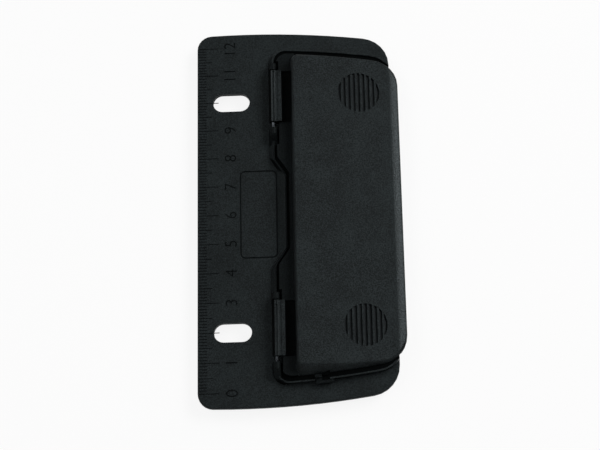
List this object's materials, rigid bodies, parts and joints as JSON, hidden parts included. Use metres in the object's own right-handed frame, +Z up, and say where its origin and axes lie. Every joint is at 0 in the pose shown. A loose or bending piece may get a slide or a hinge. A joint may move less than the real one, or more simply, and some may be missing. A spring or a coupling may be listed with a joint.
{
  "type": "hole punch",
  "caption": "Flat black plastic pocket hole punch for a ring binder, with a ruler edge, two binder slots and a hinged press lever with ribbed thumb pads.",
  "frame": {"origin": "middle of the footprint at the level of the tray skirt's underside, which the punch stands on", "axes": "+Z up through the lever, +Y along the ruler from its zero end, +X from the ruler edge to the side where the paper goes in"},
  "size_m": [0.0676, 0.13, 0.0141],
  "materials": {
    "black_plastic": "fine matte grain",
    "bright_steel": "ground bright",
    "tool_steel": "ground, lightly oiled",
    "zinc_steel": "zinc plated"
  },
  "bodies": {
    "base": {"base_plate": "black_plastic", "paper_guide": "black_plastic", "die_strip": "tool_steel", "die_rivet_1": "zinc_steel", "die_rivet_2": "zinc_steel", "die_rivet_3": "zinc_steel", "die_rivet_4": "zinc_steel", "guide_screw_1": "zinc_steel", "guide_screw_2": "zinc_steel", "guide_screw_3": "zinc_steel", "guide_screw_4": "zinc_steel", "hinge_pin_zero_end": "bright_steel", "hinge_pin_far_end": "bright_steel", "return_spring_zero_end": "zinc_steel", "return_spring_far_end": "zinc_steel"},
    "lever": {"press_lever": "black_plastic"},
    "punch_zero_end": {"punch_pin_zero_end": "bright_steel", "retaining_ring_zero_end": "tool_steel"},
    "punch_far_end": {"punch_pin_far_end": "bright_steel", "retaining_ring_far_end": "tool_steel"},
    "lock": {"lock_slide": "black_plastic"},
    "cover": {"chip_cover": "black_plastic"}
  },
  "joints": [
    {"name": "lever_hinge", "type": "hinge", "parent": "base", "child": "lever", "pos_m": [-0.00795, 0, 0.0093], "axis": [0, -1, 0], "range_deg": [0, 10.5]},
    {"name": "punch_slide_zero_end", "type": "slide", "parent": "base", "child": "punch_zero_end", "axis": [0, 0, 1], "range_m": [0, 0.0027], "deforming": ["return_spring_zero_end"]},
    {"name": "punch_slide_far_end", "type": "slide", "parent": "base", "child": "punch_far_end", "axis": [0, 0, 1], "range_m": [0, 0.0027], "deforming": ["return_spring_far_end"]},
    {"name": "lock_travel", "type": "slide", "parent": "base", "child": "lock", "axis": [0.9955, 0.0946, 0], "range_m": [0, 0.0022]},
    {"name": "cover_hinge", "type": "hinge", "parent": "base", "child": "cover", "pos_m": [-0.00015, 0, 0.0011], "axis": [0, 1, 0], "range_deg": [0, 95]}
  ],
  "couplings": [
    {"joint": "punch_slide_zero_end", "follows": "lever_hinge", "m_per_rad": 0.0147},
    {"joint": "punch_slide_far_end", "follows": "lever_hinge", "m_per_rad": 0.0147}
  ]
}
